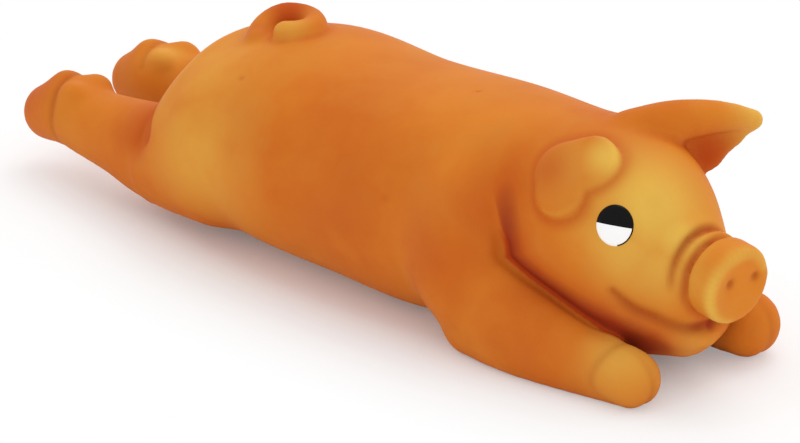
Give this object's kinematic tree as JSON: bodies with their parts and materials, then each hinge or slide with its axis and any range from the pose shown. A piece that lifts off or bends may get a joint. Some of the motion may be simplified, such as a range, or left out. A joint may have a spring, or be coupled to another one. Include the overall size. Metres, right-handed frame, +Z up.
{
  "type": "pig dog toy",
  "caption": "Prone orange latex pig for dogs, with outstretched legs, curled tail, one ear up and one folded, painted eyes, and a squeaker in its belly.",
  "frame": {"origin": "middle of the outline, on the floor that the belly lies on", "axes": "+X towards the snout, +Y towards the pig's left side, +Z up"},
  "size_m": [0.2284, 0.0722, 0.0616],
  "materials": {
    "latex_skin": "satin airbrushed natural latex, orange-red shading in the creases over ochre-yellow",
    "eye_paint": "glossy enamel paint, white with a black upper half",
    "squeaker_plastic": "plain white moulded polyethylene",
    "reed_film": "clear polyester film",
    "wadding": "loose white polyester fibre"
  },
  "bodies": {
    "pig": {"torso": "latex_skin", "head": "latex_skin", "ear_left": "latex_skin", "ear_right": "latex_skin", "foreleg_left": "latex_skin", "foreleg_right": "latex_skin", "hind_leg_left": "latex_skin", "hind_leg_right": "latex_skin", "tail": "latex_skin", "eye_left": "eye_paint", "eye_right": "eye_paint", "squeaker_housing": "squeaker_plastic", "reed_channel": "squeaker_plastic", "reed_clamp": "squeaker_plastic", "squeaker_cover": "squeaker_plastic", "stuffing_torso": "wadding", "stuffing_head": "wadding", "stuffing_foreleg_left": "wadding", "stuffing_foreleg_right": "wadding", "stuffing_hind_leg_left": "wadding", "stuffing_hind_leg_right": "wadding"},
    "reed": {"reed": "reed_film"}
  },
  "joints": [
    {"name": "reed_flex", "type": "hinge", "parent": "pig", "child": "reed", "pos_m": [-0.00103, -0.00076, 0.0042], "axis": [0, 1, 0], "range_deg": [-6, 5], "stiffness_Nm_per_rad": 0.0001}
  ]
}
